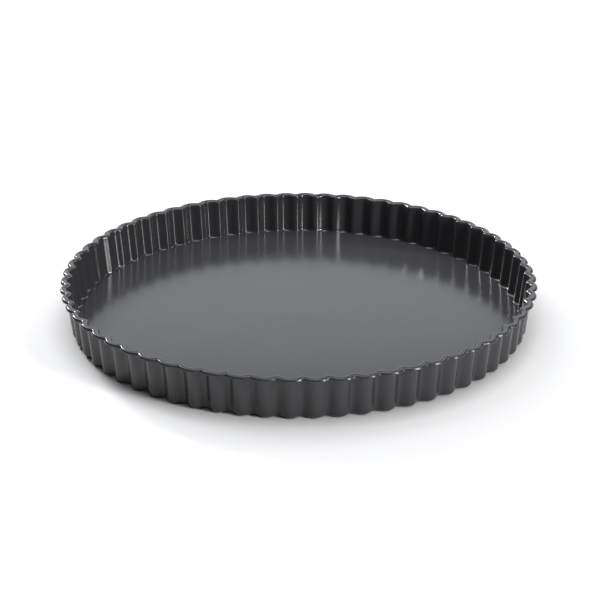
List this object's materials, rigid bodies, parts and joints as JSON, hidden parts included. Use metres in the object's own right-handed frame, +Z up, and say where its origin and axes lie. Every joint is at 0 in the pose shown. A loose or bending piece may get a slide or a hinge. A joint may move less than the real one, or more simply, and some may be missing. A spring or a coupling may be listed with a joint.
{
  "type": "tart pan",
  "caption": "Round shallow tart pan with a fluted, slightly flared wall, an outward lip and a loose flat base that lifts out of the ring.",
  "frame": {"origin": "on the pan's axis, at the level of the surface that the pan stands on", "axes": "+Z up along the pan's axis, +X towards the tip of a flute; the pan has no front"},
  "size_m": [0.28, 0.28, 0.026],
  "materials": {
    "ring_coating": "satin dark grey non-stick coating on pressed steel",
    "base_coating": "satin dark grey non-stick coating on flat steel sheet"
  },
  "bodies": {
    "ring": {"fluted_ring": "ring_coating"},
    "base": {"loose_base": "base_coating"}
  },
  "joints": [
    {"name": "base_lift", "type": "slide", "parent": "ring", "child": "base", "axis": [0, 0, 1], "range_m": [0, 0.04]}
  ]
}
